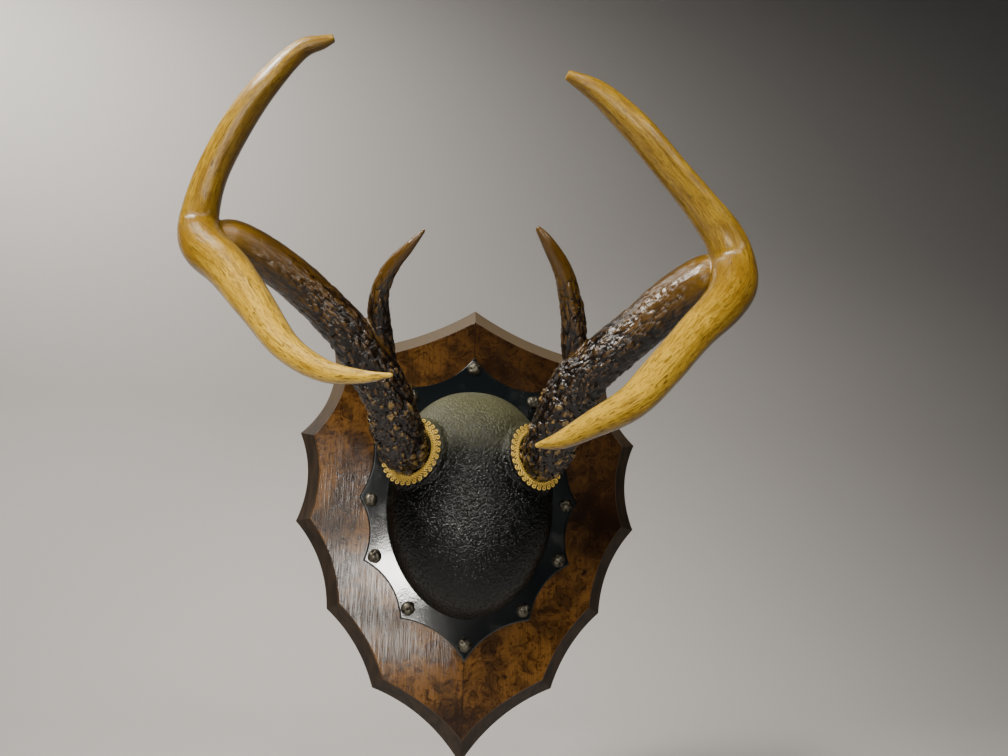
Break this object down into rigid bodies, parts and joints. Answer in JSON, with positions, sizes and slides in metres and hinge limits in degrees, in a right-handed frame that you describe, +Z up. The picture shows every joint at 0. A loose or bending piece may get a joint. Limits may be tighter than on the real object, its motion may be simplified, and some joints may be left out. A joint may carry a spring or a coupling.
{
  "type": "deer antler wall mount on a plaque",
  "caption": "Antlers with tines and forked beams on a leather-covered form, braid round each foot, scalloped metal plate and bevelled wood plaque that hangs on a wall.",
  "frame": {"origin": "middle of the board's flat back face, against the wall", "axes": "+Z up, +Y into the wall, +X to the right of someone facing the plaque"},
  "size_m": [0.3531, 0.3138, 0.4569],
  "materials": {
    "board_veneer": "glossy burl veneer",
    "plate_metal": "black satin",
    "tack_metal": "dark antique",
    "hanger_steel": "plain zinc",
    "form_leather": "pebbled black",
    "gimp_braid": "gold braid",
    "antler_bone": "lacquered antler, dark and pearled at the foot, amber at the tines"
  },
  "bodies": {
    "root": {"board": "board_veneer", "plate": "plate_metal", "hanger": "hanger_steel", "dome": "form_leather", "tack_01": "tack_metal", "tack_02": "tack_metal", "tack_03": "tack_metal", "tack_04": "tack_metal", "tack_05": "tack_metal", "tack_06": "tack_metal", "tack_07": "tack_metal", "tack_08": "tack_metal", "tack_09": "tack_metal", "tack_10": "tack_metal", "tack_11": "tack_metal", "tack_12": "tack_metal", "gimp_left": "gimp_braid", "gimp_right": "gimp_braid", "antler_left_base": "antler_bone", "antler_left_brow_tine": "antler_bone", "antler_left_beam": "antler_bone", "antler_left_upper_tine": "antler_bone", "antler_left_front_beam": "antler_bone", "antler_right_base": "antler_bone", "antler_right_brow_tine": "antler_bone", "antler_right_beam": "antler_bone", "antler_right_upper_tine": "antler_bone", "antler_right_front_beam": "antler_bone"}
  },
  "joints": []
}
